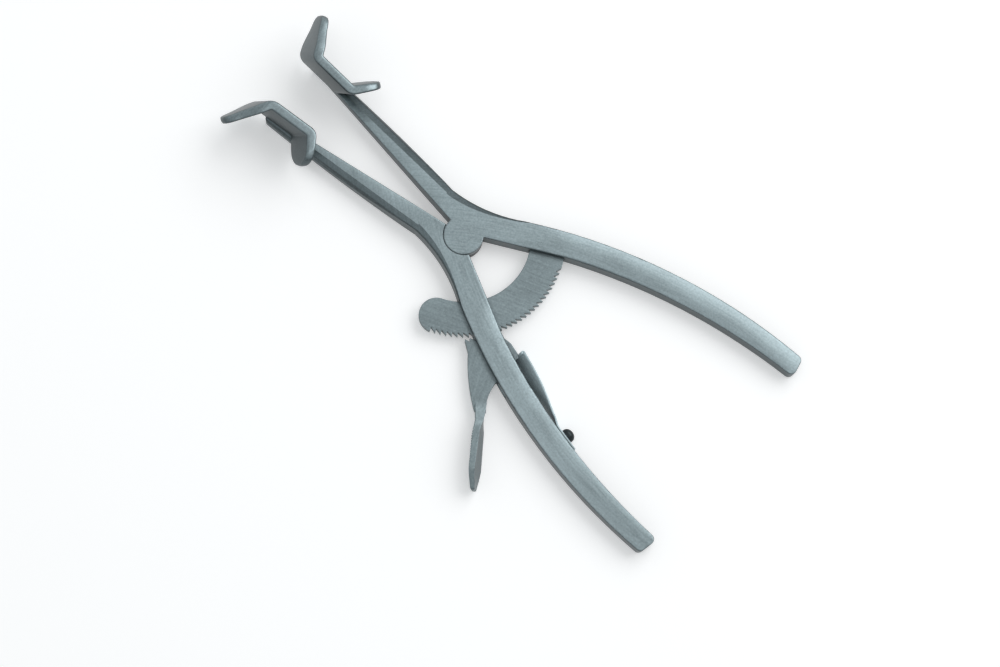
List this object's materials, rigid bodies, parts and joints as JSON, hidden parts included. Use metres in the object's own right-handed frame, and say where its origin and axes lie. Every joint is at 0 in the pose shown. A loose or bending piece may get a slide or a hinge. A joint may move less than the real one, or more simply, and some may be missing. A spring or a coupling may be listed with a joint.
{
  "type": "mouth gag",
  "caption": "Ratchet mouth gag: two levers on a half-lap joint, bent jaw plates that lean back, a curved toothed bar and a sprung release pawl.",
  "frame": {"origin": "on the axis of the joint pin, at the flat underside of the half-lap joint", "axes": "+X along the midline from the joint towards the jaws, +Z square to the flat faces of the levers on the side where the jaw plates stand, +Y towards the lever with the release pawl"},
  "size_m": [0.1912, 0.101, 0.0175],
  "materials": {
    "satin_steel": "satin brushed",
    "dark_steel": "dark oxide"
  },
  "bodies": {
    "lower_lever_body": {"lower_lever": "satin_steel", "lower_jaw_plate": "satin_steel", "joint_pin": "satin_steel", "pawl_pin": "satin_steel", "leaf_spring": "satin_steel", "spring_screw": "dark_steel"},
    "upper_lever_body": {"upper_lever": "satin_steel", "upper_jaw_plate": "satin_steel", "ratchet_bar": "satin_steel", "ratchet_rivets": "satin_steel"},
    "pawl_body": {"release_pawl": "satin_steel"}
  },
  "joints": [
    {"name": "main_hinge", "type": "hinge", "parent": "lower_lever_body", "child": "upper_lever_body", "pos_m": [0, 0, 0], "axis": [0, 0, 1], "range_deg": [-31.4, 12.56]},
    {"name": "pawl_hinge", "type": "hinge", "parent": "lower_lever_body", "child": "pawl_body", "pos_m": [-0.0308, 0.0189, 0], "axis": [0, 0, 1], "range_deg": [-8, 8], "stiffness_Nm_per_rad": 0.08, "springref_deg": -8, "deforming": ["leaf_spring"]}
  ]
}
